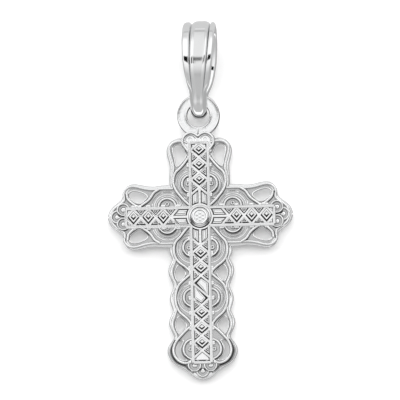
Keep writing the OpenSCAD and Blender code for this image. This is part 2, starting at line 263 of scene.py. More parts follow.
class BailSizes(PropertyGroup):
    """Sizes of the bail."""

    strap_thick: length("Strap thickness", 0.65, "Thickness of the strap at the top and sides")
    foot_thick: length("Foot thickness", 0.98, "Thickness of the strap under the ring")
    depth: length("Depth", 4.4, "Depth from front to back, where the bail is widest")
    groove_depth: length("Groove depth", 0.3, "Depth of the grooves between the lobes")
    panel_depth: length("Panel depth", 0.035, "Depth of the panel sunk into the middle lobe")
    steps: IntProperty(name="Steps", description="Sections in each stretch of the strap", default=44, min=8)


class SilverFinish(PropertyGroup):
    """Colour and polish of the silver."""

    colour: FloatVectorProperty(
        name="Colour", description="Colour of the polished silver", default=(0.96, 0.965, 0.97),
        subtype="COLOR", size=3, min=0.0, max=1.0,
    )
    # Painted shade: how dark the relief's ground is painted, as a share of the high lines' tone
    painted_recess_shade: fraction("Recess tone", 0.6, "Tone of the relief's ground, as a share of the high lines' tone")
    polish: fraction("Polish", 0.045, "Roughness of the polished bail")
    cast: fraction("Cast roughness", 0.34, "Roughness of the darkest parts of the cast relief")
    bail_tone: fraction("Bail tone", 0.83, "Tone of the bail's silver, as a share of the colour")


class StudioSettings(PropertyGroup):
    """Camera and light."""

    azimuth: angle("Azimuth", 3.5, "How far the camera stands to the right of the front")
    elevation: angle("Elevation", -4.5, "Height of the camera over the horizon")
    roll: angle("Roll", 1.0, "Turn of the camera about its own axis")
    frame_width: length("Frame width", 33.333, "Width of what the camera sees at the cross")
    lens: FloatProperty(name="Lens", description="Focal length", default=300.0, min=1.0, unit="CAMERA")
    light: FloatProperty(name="Light", description="Strength of the light tent", default=1.15, min=0.0)


# Lines in the plane of the cross
def smooth(points, steps=6, closed=False):
    """A Catmull-Rom curve through the points."""
    p = np.array(points, float)
    count = len(p)
    spans = count if closed else count - 1
    made = []
    for i in range(spans):
        if closed:
            a, b, c, d = (p[(i + k) % count] for k in (-1, 0, 1, 2))
        else:
            a, b, c, d = (p[min(max(i + k, 0), count - 1)] for k in (-1, 0, 1, 2))
        for k in range(steps):
            t = k / steps
            made.append(0.5 * (
                2 * b + (c - a) * t + (2 * a - 5 * b + 4 * c - d) * t * t
                + (3 * b - a - 3 * c + d) * t ** 3
            ))
    if not closed:
        made.append(p[-1])
    return np.array(made)


def longer(path, start, end):
    """The path with its two ends drawn out along their directions."""
    first = path[0] - path[1]
    last = path[-1] - path[-2]
    head = path[0] + start * first / np.linalg.norm(first)
    tail = path[-1] + end * last / np.linalg.norm(last)
    return np.vstack([head, path, tail])


def flipped(path, x=1, y=1):
    """The path mirrored left to right where x is -1, and upside down where y is -1."""
    return path * np.array([x, y])


def four_ways(path):
    """The path in all four quarters."""
    return [flipped(path, x, y) for x in (1, -1) for y in (1, -1)]


def both_sides(path):
    """The path on the right and on the left."""
    return [path, flipped(path, -1)]


def turned(path, degrees):
    """The path or point turned anticlockwise about the middle of the boss."""
    a = math.radians(degrees)
    return path @ np.array([[math.cos(a), math.sin(a)], [-math.sin(a), math.cos(a)]])


def arc(middle, radius, start, end, step=10):
    """An arc from one angle to another, in degrees."""
    count = max(int(abs(end - start) / step), 3)
    angles = np.radians(np.linspace(start, end, count + 1))
    return np.array(middle) + radius * np.column_stack([np.cos(angles), np.sin(angles)])


def circle(middle, radius, count=32):
    """A closed loop, with no point given twice."""
    return arc(middle, radius, 0, 360, 360 / count)[:-1]


def moved_out(loop, distance):
    """A closed loop that runs anticlockwise, moved outwards."""
    ahead = np.roll(loop, -1, axis=0) - np.roll(loop, 1, axis=0)
    normal = np.column_stack([ahead[:, 1], -ahead[:, 0]])
    return loop + distance * normal / np.linalg.norm(normal, axis=1)[:, None]


def anticlockwise(loop):
    """The loop, turned round if it runs clockwise."""
    x, y = loop.T
    area = np.sum(x * np.roll(y, -1) - y * np.roll(x, -1))
    return loop if area > 0 else loop[::-1]


# Meshes in millimetres
def mesh_of(name, points, edges=(), faces=()):
    """A mesh of the given points, edges and faces."""
    mesh = bpy.data.meshes.new(name)
    mesh.from_pydata([tuple(p) for p in points], list(edges), [tuple(f) for f in faces])
    mesh.update()
    return mesh


def lines(paths, closed=False):
    """One mesh of edges along the paths, flat in the plane of the cross."""
    points, edges = [], []
    for path in paths:
        start = len(points)
        points += [(x, y, 0) for x, y in path]
        edges += [(start + i, start + i + 1) for i in range(len(path) - 1)]
        if closed:
            edges.append((start + len(path) - 1, start))
    return mesh_of("lines", points, edges)


def stack(loops):
    """A closed solid through loops of equally many points, given from back to front as (loop, height)."""
    count = len(loops[0][0])
    points = [(x, y, z) for loop, z in loops for x, y in loop]
    faces = [tuple(reversed(range(count)))]
    for i in range(len(loops) - 1):
        for k in range(count):
            n = (k + 1) % count
            faces.append((i * count + k, i * count + n, (i + 1) * count + n, (i + 1) * count + k))
    top = (len(loops) - 1) * count
    faces.append(tuple(top + k for k in range(count)))
    return mesh_of("stack", points, faces=faces)


def lathe(section, middle, count=64):
    """A closed round solid: its section of (radius, height) is a closed loop, or runs from axis to axis."""
    points, faces = [], []
    on_axis = section[0][0] == 0
    rim = section[1:-1] if on_axis else section
    for k in range(count):
        a = 2 * math.pi * k / count
        points += [(middle[0] + r * math.cos(a), middle[1] + r * math.sin(a), z) for r, z in rim]
    size = len(rim)
    spans = size - 1 if on_axis else size
    for k in range(count):
        here, there = k * size, (k + 1) % count * size
        faces += [(here + i, there + i, there + (i + 1) % size, here + (i + 1) % size) for i in range(spans)]
    if on_axis:
        low = len(points)
        points += [(*middle, section[0][1]), (*middle, section[-1][1])]
        for k in range(count):
            here, there = k * size, (k + 1) % count * size
            faces += [(low, there, here), (low + 1, here + size - 1, there + size - 1)]
    return mesh_of("lathe", points, faces=faces)


def joined(meshes):
    """One mesh of all the given ones, which are used up."""
    points, faces = [], []
    for mesh in meshes:
        start = len(points)
        points += [v.co[:] for v in mesh.vertices]
        faces += [tuple(start + v for v in p.vertices) for p in mesh.polygons]
        bpy.data.meshes.remove(mesh)
    return mesh_of("joined", points, faces=faces)


# Node trees
def new_tree(name, **inputs):
    """A tree and its inputs: a mesh, the named ones, where None stands for an object, and a material."""
    kinds = {float: "Float", int: "Int", tuple: "Vector", type(None): "Object"}
    tree = bpy.data.node_groups.new(name, "GeometryNodeTree")
    face = tree.interface
    face.new_socket("Geometry", in_out="INPUT", socket_type="NodeSocketGeometry")
    for key, value in inputs.items():
        label = key.replace("_", " ").title()
        socket = face.new_socket(label, in_out="INPUT", socket_type="NodeSocket" + kinds[type(value)])
        if value is not None:
            socket.default_value = value
    face.new_socket("Material", in_out="INPUT", socket_type="NodeSocketMaterial")
    face.new_socket("Geometry", in_out="OUTPUT", socket_type="NodeSocketGeometry")
    return tree, add(tree, "NodeGroupInput").outputs


def add(tree, kind, links=None, **settings):
    """A node, with its settings, and its inputs filled from values or from other nodes' outputs."""
    node = tree.nodes.new(kind)
    for key, value in settings.items():
        setattr(node, key, value)
    for key, value in (links or {}).items():
        socket = node.inputs[key]
        if isinstance(value, bpy.types.NodeSocket):
            tree.links.new(value, socket)
        else:
            socket.default_value = value
    return node


def geo(tree, kind, links=None, **settings):
    """The first output of a new geometry node."""
    return add(tree, "GeometryNode" + kind, links, **settings).outputs[0]


def shade(tree, kind, links=None, **settings):
    """The first output of a new shading or maths node."""
    return add(tree, "ShaderNode" + kind, links, **settings).outputs[0]


def maths(tree, operation, a, b=0.0):
    """One sum on two values."""
    return shade(tree, "Math", {0: a, 1: b}, operation=operation)


def product(tree, a, b):
    """The two values multiplied."""
    return maths(tree, "MULTIPLY", a, b)


def map_range(tree, value, low, high, to_low, to_high):
    """The value moved from one range to another, and kept inside it."""
    return shade(tree, "MapRange", {0: value, 1: low, 2: high, 3: to_low, 4: to_high})


def mix(tree, share, first, second):
    """A value between the first, where the share is 0, and the second, where it is 1."""
    return shade(tree, "Mix", {0: share, 2: first, 3: second})


def finish_tree(tree, group, shape):
    """Every tree ends in real geometry with its material set."""
    real = geo(tree, "RealizeInstances", {"Geometry": shape})
    done = geo(tree, "SetMaterial", {"Geometry": real, "Material": group["Material"]})
    add(tree, "NodeGroupOutput", {"Geometry": done})
    return tree


def sweep_tree():
    """Sweeps a section with flat sides and a round crest along each line, between two heights."""
    tree, group = new_tree("Wire sweep", width=0.2, round=0.1, bottom=-0.1, top=0.4, flare=0.0, sides=12)
    section = geo(tree, "CurvePrimitiveCircle", {"Resolution": group["Sides"], "Radius": group["Round"]})
    parts = add(tree, "ShaderNodeSeparateXYZ", {0: geo(tree, "InputPosition")}).outputs
    spare = maths(tree, "SUBTRACT", product(tree, group["Width"], 0.5), group["Round"])
    upper = maths(tree, "GREATER_THAN", parts["Y"], 0.0001)
    spread = product(tree, group["Flare"], maths(tree, "SUBTRACT", 1.0, upper))
    side = product(tree, maths(tree, "SIGN", parts["X"]), maths(tree, "ADD", spare, spread))
    crest = maths(tree, "SUBTRACT", group["Top"], group["Round"])
    base = maths(tree, "ADD", group["Bottom"], group["Round"])
    shift = shade(tree, "CombineXYZ", {"X": side, "Y": mix(tree, upper, base, crest)})
    formed = geo(tree, "SetPosition", {"Geometry": section, "Offset": shift})
    half_turn = geo(tree, "Transform", {"Geometry": formed, "Rotation": (0, 0, math.pi)})
    curve = geo(tree, "MeshToCurve", {"Mesh": group["Geometry"]})
    upright = geo(tree, "SetCurveNormal", {"Curve": curve}, mode="Z_UP")
    swept = geo(tree, "CurveToMesh", {"Curve": upright, "Profile Curve": half_turn, "Fill Caps": True})
    return finish_tree(tree, group, swept)


def stud_tree():
    """Stands a stud on each point, turned as the point says: a bevelled foot with a blunt pyramid on it."""
    tree, group = new_tree(
        "Stud rows", corners=4, turn_corners=0.0, size=(1.0, 1.0, 1.0), foot_height=0.62, crown=0.58,
    )
    sink, overlap = 0.2, 0.02

    def cone(low_radius, high_radius, depth, lift):
        """A blunt cone with as many corners as the stud."""
        shape = geo(tree, "MeshCone", {
            "Vertices": group["Corners"], "Depth": depth,
            "Radius Top": high_radius, "Radius Bottom": low_radius,
        })
        place = shade(tree, "CombineXYZ", {"Z": lift})
        return geo(tree, "Transform", {"Geometry": shape, "Translation": place})

    foot = cone(1.0, 0.86, maths(tree, "ADD", group["Foot Height"], sink), -sink)
    crown_depth = maths(tree, "ADD", maths(tree, "SUBTRACT", 1.0, group["Foot Height"]), overlap)
    crown = cone(group["Crown"], 0.2, crown_depth, maths(tree, "SUBTRACT", group["Foot Height"], overlap))
    both = add(tree, "GeometryNodeJoinGeometry")
    for part in (foot, crown):
        tree.links.new(part, both.inputs[0])
    corner_turn = shade(tree, "CombineXYZ", {"Z": group["Turn Corners"]})
    set_up = geo(tree, "Transform", {"Geometry": both.outputs[0], "Rotation": corner_turn})
    sized = geo(tree, "Transform", {"Geometry": set_up, "Scale": group["Size"]})
    turn = geo(tree, "InputNamedAttribute", {"Name": "turn"}, data_type="FLOAT")
    placed = geo(tree, "InstanceOnPoints", {
        "Points": group["Geometry"], "Instance": sized, "Rotation": shade(tree, "CombineXYZ", {"Z": turn}),
    })
    return finish_tree(tree, group, placed)


def fuse_tree():
    """Grows all the loose solids of a mesh into one, and takes the cutters away from it."""
    tree, group = new_tree("Fuse casting", cutters=None)
    island = geo(tree, "InputMeshIsland")
    apart = geo(tree, "SplitToInstances", {"Geometry": group["Geometry"], "Group ID": island}, domain="FACE")
    grown = geo(tree, "MeshBoolean", {"Mesh 2": apart}, operation="UNION", solver="MANIFOLD")
    cutters = add(tree, "GeometryNodeObjectInfo", {"Object": group["Cutters"]}).outputs["Geometry"]
    cut = geo(
        tree, "MeshBoolean", {"Mesh 1": grown, "Mesh 2": cutters}, operation="DIFFERENCE", solver="MANIFOLD",
    )
    return finish_tree(tree, group, cut)


def run_tree(tree, mesh, **values):
    """The mesh as the tree makes it, plain, with no modifier left. The given mesh is used up."""
    holder = bpy.data.objects.new("holder", mesh)
    bpy.context.scene.collection.objects.link(holder)
    modifier = holder.modifiers.new("tree", "NODES")
    modifier.node_group = tree
    for item in tree.interface.items_tree:
        key = item.name.replace(" ", "_").lower()
        if item.in_out == "INPUT" and key in values:
            modifier[item.identifier] = values[key]
    made = bpy.data.meshes.new_from_object(holder.evaluated_get(bpy.context.evaluated_depsgraph_get()))
    holder.modifiers.remove(modifier)
    bpy.data.objects.remove(holder)
    bpy.data.meshes.remove(mesh)
    return made


# Sub-parts of the cross
def levels():
    """Heights from the middle of the ring's thickness towards the front, and other shared sizes."""
    s = bpy.context.scene.pendant_cross
    back = -s.plate_back / MM
    front = back + s.plate_thick / MM
    bar = front + s.bar_floor / MM
    half = s.bar_half / MM
    return {
        "back": back,
        "front": front,
        "wire": front + s.wire_rise / MM,
        "bar": bar,
        "ridge": bar + s.ridge_rise / MM,
        "half": half,
        "lane": half - LANE_INSET,
        "arm_end": FIRST_CROSSING + ARM_CROSSINGS * CROSSING_PITCH,
        "shaft_end": FIRST_CROSSING + (SHAFT_CROSSINGS - 1) * CROSSING_PITCH + SHAFT_TAIL,
    }


def border_parts():
    """The border's crest on the right half: beside the top bar, along the arm and down the shaft."""
    arm = smooth(ARM_CREST)
    return smooth(TOP_CREST), arm, flipped(arm, y=-1)[::-1], smooth(SHAFT_CREST)


def plate(trees):
    """The base plate with its rounded skirt, the heart's floor and the flat ring, not yet pierced."""
    s, z = bpy.context.scene.pendant_cross, levels()
    top, arm, under_arm, shaft = border_parts()
    right = np.vstack([top, arm, under_arm[1:], shaft])
    outline = anticlockwise(np.vstack([right, flipped(right, -1)[::-1][1:]]))
    core = stack([(outline, z["back"] + TUCKED), (outline, z["front"])])
    into_plate = 0.3
    skirts = both_sides(longer(top, 0, into_plate)) + both_sides(longer(shaft, into_plate, 0))
    skirts += four_ways(longer(arm, into_plate, 0))
    edge = run_tree(
        trees["sweep"], lines(skirts), width=2 * s.skirt / MM, round=0.2, bottom=z["back"],
        top=z["front"] - TUCKED, sides=16,
    )
    return [core, edge, heart_floor(z), ring(s, z)]


def heart_line():
    """The heart's crest, from its left foot over both lobes to its right one."""
    half = smooth(HEART_CREST)
    return np.vstack([flipped(half, -1)[::-1], half[1:]]) + HEART_ASIDE


def heart_floor(z):
    """The raised floor inside the heart's line."""
    loop = anticlockwise(heart_line())
    inner = moved_out(loop, 0.04)
    outer = moved_out(loop, 0.12)
    top = z["front"] + HEART_FLOOR
    return stack([(inner, z["back"] + 0.01), (outer, z["back"] + 0.1), (outer, top - 0.08), (inner, top)])


def ring(s, z):
    """The flat ring at the top, with softened edges."""
    outer, inner = s.ring_radius / MM, s.ring_hole / MM
    half = s.ring_thick / MM / 2
    soft = 0.09
    corners = [(outer - soft, -half + soft, -90), (outer - soft, half - soft, 0),
               (inner + soft, half - soft, 90), (inner + soft, -half + soft, 180)]
    section = [p for r, h, start in corners for p in arc((r, h), soft, start, start + 90, 22.5)]
    return lathe([tuple(p) for p in section], (0, RING_ABOVE_BOSS), 96)


def hole_rounds():
    """The edges of all the pierced holes."""
    rounds = [loop for hole in SIDE_HOLES for loop in both_sides(smooth(hole, closed=True))]
    return rounds + four_ways(smooth(ARM_HOLE, closed=True))


def hole_cutters(z):
    """Solids of the pierced holes, which open a little towards both faces, and of the room over the heart."""
    flare = [
        (0.1, z["back"] - 0.2), (0.1, z["back"] - 0.01), (0.0, z["back"] + 0.1), (0.0, z["front"] - 0.14),
        (0.02, z["front"] - 0.03), (0.04, z["front"] + 0.01), (0.04, z["front"] + 0.2),
    ]
    made = []
    for loop in hole_rounds():
        loop = anticlockwise(loop)
        made.append(stack([(moved_out(loop, out), height) for out, height in flare]))
    heart = anticlockwise(heart_line())
    above_all = 1.0
    made.append(stack([(heart, z["front"] + HEART_FLOOR), (heart, above_all)]))
    return joined(made)


def wires(trees):
    """The border wire, the arches and scrolls, the half rings, the petals and the heart's lines."""
    s, z = bpy.context.scene.pendant_cross, levels()
    width, draft = s.wire_width / MM, s.draft / MM
    fine = 0.65 * width
    deep = z["front"] - 0.15
    tuck = 0.12
    arm = smooth(ARM_WIRE)
    border = both_sides(np.vstack([smooth(TOP_WIRE), arm, flipped(arm, y=-1)[::-1][1:]]))
    border += [w for path in SHAFT_WIRES[:2] for w in both_sides(smooth(path))]
    arches = [w for path in SIDE_ARCHES for w in both_sides(longer(smooth(path), tuck, tuck))]
    scrolls = [w for path in ARM_WIRES for w in four_ways(longer(smooth(path), 0, tuck))]
    main_rings, eyes = half_rings(z)
    closed_petals, open_petals = petals()
    lobe_lines = [
        w + HEART_ASIDE for radius in HEART_LOBE_LINES
        for w in both_sides(longer(arc((0.62, z["arm_end"] + 0.1), radius, 0, 180), 0.1, 0.1))
    ]
    rims = [moved_out(anticlockwise(loop), 0.07) for loop in hole_rounds()]

    def sweep(paths, wide, top, closed=False, flare=draft, sides=12):
        """Wires of one width along the paths, from deep in the plate to their top."""
        return run_tree(
            trees["sweep"], lines(paths, closed), width=wide, round=wide / 2, bottom=deep, top=top,
            flare=flare, sides=sides,
        )

    return [
        sweep(border, width, z["wire"] - 0.1, flare=0.0),
        sweep(arches + scrolls, width, z["wire"]),
        sweep(main_rings, 0.85 * width, z["wire"] - 0.02),
        sweep(both_sides(smooth(SHAFT_WIRES[2])), 0.8 * width, z["wire"] - 0.18, flare=0.03),
        sweep(open_petals, fine, z["wire"] - 0.06),
        sweep(eyes, 0.8 * fine, z["wire"] - 0.14, closed=True),
        sweep(closed_petals, fine, z["wire"] - 0.02, closed=True),
        sweep([heart_line()], 0.95 * width, z["ridge"] + 0.05),
        sweep(lobe_lines, 0.5 * width, z["front"] + HEART_FLOOR + 0.06, flare=0.02, sides=8),
        sweep(rims, 0.5 * width, z["front"] + 0.11, closed=True, flare=0.02, sides=8),
        sweep(contours(z), 0.4 * width, z["front"] + 0.04, flare=0.02, sides=8),
    ]


def contours(z):
    """Fine low lines on the ground round the half rings."""
    made = []
    for extra in CONTOURS:
        for place, radius in SIDE_HALF_RINGS[:-1]:
            made += both_sides(arc((z["lane"], place), radius + extra, -90, 90, 6))
        place, radius = ARM_HALF_RING
        made += four_ways(arc((place, z["lane"]), radius + extra, 0, 180, 6))
    return made


def half_rings(z):
    """Half rings on the bars' sides, and the small closed rings inside them."""
    large, small = [], []
    out, eye = z["lane"] + EYE_RING[0], EYE_RING[1]
    for place, radius in SIDE_HALF_RINGS:
        large += both_sides(longer(arc((z["lane"], place), radius, -90, 90), 0.05, 0.05))
        small += both_sides(circle((out, place), eye))
    place, radius = ARM_HALF_RING
    large += four_ways(longer(arc((place, z["lane"]), radius, 0, 180), 0.05, 0.05))
    return large, small + four_ways(circle((place, out), eye))


def petals():
    """Rings of the petals: closed ones, and the arcs of those that lie behind."""
    closed, behind = [], []
    for rows, turns in PETAL_ENDS:
        for turn in turns:
            for along, side, radius in rows[:2]:
                closed.append(turned(circle((along, side), radius), turn))
            along, side, radius = rows[2]
            free = [p for p in arc((along, side), radius, -150, 150, 5)
                    if all(math.dist(p, q[:2]) > q[2] - 0.05 for q in rows[:2])]
            behind.append(turned(np.array(free), turn))
    return closed, behind


def domes(places, radius, low, top):
    """Small round domes on the ground."""
    section = [(0, low), (radius, low), (radius, top - 0.6 * radius), (0.87 * radius, top - 0.25 * radius),
               (0.5 * radius, top - 0.05 * radius), (0, top)]
    return [lathe(section, place, 12) for place in places]


def beads(z):
    """Beads where the wires run into the bars, small ones along the rails, and domes in the petals."""
    def along_bar(spaces):
        """Places of the pairs of beads, one pair between each two crossings."""
        middles = [FIRST_CROSSING + k * RUN for k in range(-1, spaces, 2)]
        return [middle + shift for middle in middles for shift in (-0.07, 0.07)]

    ends = [w for path in SIDE_ARCHES for w in both_sides(np.array([path[0], path[-1]]))]
    ends += [w for path in ARM_WIRES for w in four_ways(np.array(path[-1:]))]
    beside_boss = 0.4
    near_bar = [tuple(p) for pair in ends for p in pair if abs(abs(p[0]) - abs(p[1])) > beside_boss]
    out = z["lane"] + 0.22
    arm, shaft = along_bar(6), along_bar(2 * SHAFT_CROSSINGS - 1)
    rail_beads = [(x, side * out - BARS_DROP) for at in arm for x in (at, -at) for side in (1, -1)]
    rail_beads += [(side * out, y - BARS_DROP) for y in arm + [-at for at in shaft] for side in (1, -1)]
    in_petals = [tuple(turned(np.array(petal[:2]), turn)) for rows, turns in PETAL_ENDS for turn in turns
                 for petal in rows]
    low = z["front"] - 0.1
    return (domes(near_bar, 0.14, low, z["wire"] + 0.05) + domes(rail_beads, 0.12, low, z["wire"] - 0.02)
            + domes(in_petals, 0.24, low, z["front"] + 0.16))


def bar_lines(reach, crossings, open_one):
    """Lines of one bar along +X: its ridges, its rails with the end one, and the rib beside the boss."""
    lane = levels()["lane"]
    ridges = []
    for i in range(crossings):
        at = FIRST_CROSSING + i * CROSSING_PITCH
        for side in (1, -1):
            if i == open_one and side == -1:
                continue
            ends = np.array([(at - RUN, -side * lane), (at + RUN, side * lane)])
            inside = min(1.0, (reach - ends[0][0]) / (2 * RUN))
            ridges.append(np.array([ends[0], ends[0] + inside * (ends[1] - ends[0])]))
    edge = lane + RAIL_OUT
    rails = [np.array([(0.8, side * edge), (reach, side * edge)]) for side in (1, -1)]
    rails.append(np.array([(reach, -lane), (reach, lane)]))
    rib = [np.array([(RIB_START, 0.0), (RIB_END, 0.0)])]
    return ridges, rails, rib


def studs(trees, z, turn, crossings, diamonds, open_one):
    """Studs in the lattice's cells of one bar. They sit a little high in them, so that grooves show below."""
    lane, rise = z["lane"], z["ridge"] - z["bar"]
    made = []

    def stand(places, corners, corner_turn, size, up):
        """Studs of one kind on the given places."""
        mesh = mesh_of("places", [(x, y + up, z["bar"]) for x, y, _ in places])
        turns = mesh.attributes.new("turn", "FLOAT", "POINT")
        turns.data.foreach_set("value", [math.radians(p[2]) for p in places])
        made.append(run_tree(
            trees["stud"], mesh, corners=corners, turn_corners=math.radians(corner_turn), size=size,
        ))

    def on_bar(x, y, extra=0):
        """A place along and across the bar, with its turn."""
        a = math.radians(turn)
        return (x * math.cos(a) - y * math.sin(a), x * math.sin(a) + y * math.cos(a), turn + extra)

    at = [FIRST_CROSSING + i * CROSSING_PITCH for i in range(crossings)]
    diamond_size = (DIAMOND * RUN, DIAMOND * lane, rise)
    stand([on_bar(at[i] + RUN, 0) for i in diamonds], 4, 0, diamond_size, STUD_LIFT)
    edge_places = []
    for i in range(crossings):
        if i != open_one:
            edge_places += [on_bar(at[i], lane - EDGE_STUD_IN), on_bar(at[i], EDGE_STUD_IN - lane, 180)]
    stand(edge_places, 3, -90, (*EDGE_STUD, rise), EDGE_STUD_LIFT)
    return made


def slab(corners, turn, low, high, inset):
    """A low block with sloping sides on a polygon."""
    outer = anticlockwise(turned(np.array(corners, float), turn))
    return stack([(outer, low), (moved_out(outer, -inset), high)])


def stepped(corners, turn, z):
    """A low block with a narrower one with steeper sides on it."""
    outer = anticlockwise(np.array(corners, float))
    return [slab(outer, turn, z["bar"] - 0.05, z["bar"] + 0.12, 0.02),
            slab(moved_out(outer, -0.07), turn, z["bar"], z["ridge"], 0.08)]


def pockets(z, turn):
    """The two wedges beside the rib, next to the boss."""
    start = COLLAR + 0.05
    wedge = [(start, 0.16), (2.08, 0.16), (1.76, 0.58), (start - 0.14, 0.58), (start - 0.04, 0.36)]
    return [block for side in (1, -1) for block in stepped([(x, side * y) for x, y in wedge], turn, z)]


def lattice(trees):
    """The two crossed bars: floors, ridges and studs."""
    s, z = bpy.context.scene.pendant_cross, levels()
    ridge_lines, rail_lines, rib_lines, made = [], [], [], []
    for turn, diamonds in BARS:
        shaft = turn == SHAFT_TURN
        reach = z["shaft_end"] if shaft else z["arm_end"]
        crossings = SHAFT_CROSSINGS if shaft else ARM_CROSSINGS + 1
        studded = SHAFT_CROSSINGS if shaft else ARM_CROSSINGS
        open_one = OPEN_CROSSING if shaft else -1
        parts = bar_lines(reach, crossings, open_one)
        for kept, new in zip((ridge_lines, rail_lines, rib_lines), parts):
            kept += [turned(p, turn) for p in new]
        floor = [(0, -z["half"]), (reach, -z["half"]), (reach, z["half"]), (0, z["half"])]
        made.append(slab(floor, turn, z["front"] - 0.1, z["bar"], 0.0))
        made += studs(trees, z, turn, studded, diamonds, open_one)
        made += pockets(z, turn)
        if not shaft:
            corner = [(reach - 0.5, 0.57), (reach - 0.16, 0.57), (reach - 0.16, 0.2)]
            made += [slab([(x, side * y) for x, y in corner], turn, z["bar"] - 0.05, z["bar"] + 0.2, 0.04)
                     for side in (1, -1)]
    made += shaft_extras(z)
    ridge, rail = s.ridge_width / MM, s.rail_width / MM
    rows = (
        (ridge_lines, ridge, z["ridge"] - 0.01),
        (rail_lines, rail, z["ridge"] + 0.01),
        (rib_lines, 1.1 * ridge, z["ridge"]),
    )
    for paths, width, top in rows:
        made.append(run_tree(
            trees["sweep"], lines(paths), width=width, round=0.035, bottom=z["front"], top=top, flare=0.02,
        ))
    return made


def shaft_extras(z):
    """The two long flat studs in the shaft's open cell, and the wedge in its last half cell."""
    open_at = FIRST_CROSSING + OPEN_CROSSING * CROSSING_PITCH
    lane, gap = z["lane"] - 0.15, 0.22
    upper = [
        (open_at - 2 * RUN + gap, 0), (open_at - RUN, lane), (open_at + RUN - gap, lane), (open_at - gap, 0),
        (open_at - RUN, gap - lane),
    ]
    lower = [(2 * open_at - x, -y) for x, y in upper]
    end = FIRST_CROSSING + (SHAFT_CROSSINGS - 1) * CROSSING_PITCH
    base = z["shaft_end"] - 0.2
    last = [(end + 0.15, 0), (end + 0.58, -0.5), (base, -0.54), (base, 0.54), (end + 0.58, 0.5)]
    long_studs = [block for loop in (upper, lower) for block in stepped(loop, SHAFT_TURN, z)]
    return long_studs + [slab(last, SHAFT_TURN, z["bar"] - 0.05, z["ridge"] - 0.02, 0.02)]


def boss():
    """The round boss on its collar: a rim, a groove, and a rosette of six petals round a bead."""
    s, z = bpy.context.scene.pendant_cross, levels()
    radius = s.boss_radius / MM
    foot = z["front"] - 0.1
    face = z["ridge"] + 0.02
    rim = face + 0.12
    section = [
        (0, foot), (radius, foot), (radius, face - 0.05), (radius - 0.05, rim - 0.04), (radius - 0.11, rim),
        (radius - 0.19, rim - 0.01), (radius - 0.25, face), (0.66, face - 0.01), (0.63, face + 0.06),
        (0.57, face + 0.08), (0.51, face + 0.06), (0.48, face), (0, face),
    ]
    low = z["ridge"] - 0.02
    collar = [(0, foot), (COLLAR, foot), (COLLAR, low - 0.04), (COLLAR - 0.04, low), (0, low)]
    made = [lathe(section, (0, 0)), lathe(collar, (0, 0))]
    places = [(0.0, 0.0)] + [tuple(turned(np.array([ROSETTE, 0.0]), turn)) for turn in range(30, 390, 60)]
    return made + domes(places, 0.12, face - 0.05, face + 0.09)


def boss_height():
    """Height of the middle of the arms in the frame, in millimetres."""
    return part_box("cross")[1].z / MM - bpy.context.scene.pendant_cross.ring_radius / MM - RING_ABOVE_BOSS


def to_frame(mesh):
    """From the plane of the cross, in millimetres, to the frame, in metres."""
    mesh.transform(Matrix(((MM, 0, 0, 0), (0, 0, -MM, 0), (0, MM, 0, boss_height() * MM), (0, 0, 0, 1))))


def crisp(mesh, degrees):
    """Smooth surfaces, with an edge wherever two faces meet at more than the angle."""
    mesh.shade_smooth()
    mesh.set_sharp_from_angle(angle=math.radians(degrees))


def note_painted_shade(mesh):
    """Stores how much painted shade lies at each corner of the surface, as a darkening of its colour.

    It lies on the steep sides inside the relief, darkest where they face down, and on the lower sides of the
    diamond studs' crowns, and it outlines the ring's edges. The bars' outer sides are bright.
    """
    z = levels()
    normals = np.empty(3 * len(mesh.loops), np.float32)
    mesh.corner_normals.foreach_get("vector", normals)
    nx, ny, nz = normals.reshape(-1, 3).T
    level = np.abs(ny)
    down = -nz / np.maximum(np.hypot(nx, nz), 0.001)
    steep = np.clip((0.84 + 0.1 * down - level) / 0.3, 0, 1)
    places = np.empty(3 * len(mesh.vertices), np.float32)
    mesh.vertices.foreach_get("co", places)
    corners = np.empty(len(mesh.loops), np.int32)
    mesh.loops.foreach_get("vertex_index", corners)
    across, depth, up = places.reshape(-1, 3)[corners].T / MM
    up = up - boss_height() + BARS_DROP
    above_floor = -depth - z["bar"]
    from_lane = np.minimum(np.abs(across), np.abs(up)) - z["lane"]

    crown = np.zeros(len(corners), bool)
    for turn, cells in BARS:
        reach = (RUN, z["lane"]) if turn in (0, 180) else (z["lane"], RUN)
        for i in cells:
            at = turned(np.array([FIRST_CROSSING + (2 * i + 1) * RUN, 0.0]), turn)
            away = np.abs(across - at[0]) / reach[0] + np.abs(up - at[1] - STUD_LIFT) / reach[1]
            crown |= (away < 0.62 * DIAMOND) & (above_floor > 0.14) & (down > 0.3) & (level < 0.99)
    underside = (above_floor > 0.11) & (down > 0.5) & (level < 0.86)
    beside_bar = (np.abs(from_lane - 0.16) < 0.03) & (up < OVER_BARS)
    rail_top = (np.abs(from_lane - RAIL_OUT) < 0.145) & (level > 0.9) & (above_floor > 0.1) & (up < OVER_BARS)

    # Painted shade: strongest on undersides, elsewhere by steepness and more where a side faces down, much
    # less beside the bars
    value = np.where(underside, DARKEST_PAINTED_SHADE, steep * (0.8 + 0.16 * down)) * np.where(beside_bar, 0.15, 1.0)
    value = np.where(beside_bar & (down < -0.5), 0.6 * steep, value)
    # Only a little painted shade on the rails' tops
    value = np.where(rail_top, 0.13, value)
    # Painted shade outlining the ring's edges above the heart
    value = np.where(up > OVER_HEART, 2.2 * steep, value)
    # Painted shade kept per corner, darkest on the diamond studs' lower crown faces
    painted_shade = mesh.attributes.new("painted_shade", "FLOAT", "CORNER")
    painted_shade.data.foreach_set("value", np.where(crown, DARKEST_PAINTED_SHADE, value).astype(np.float32))


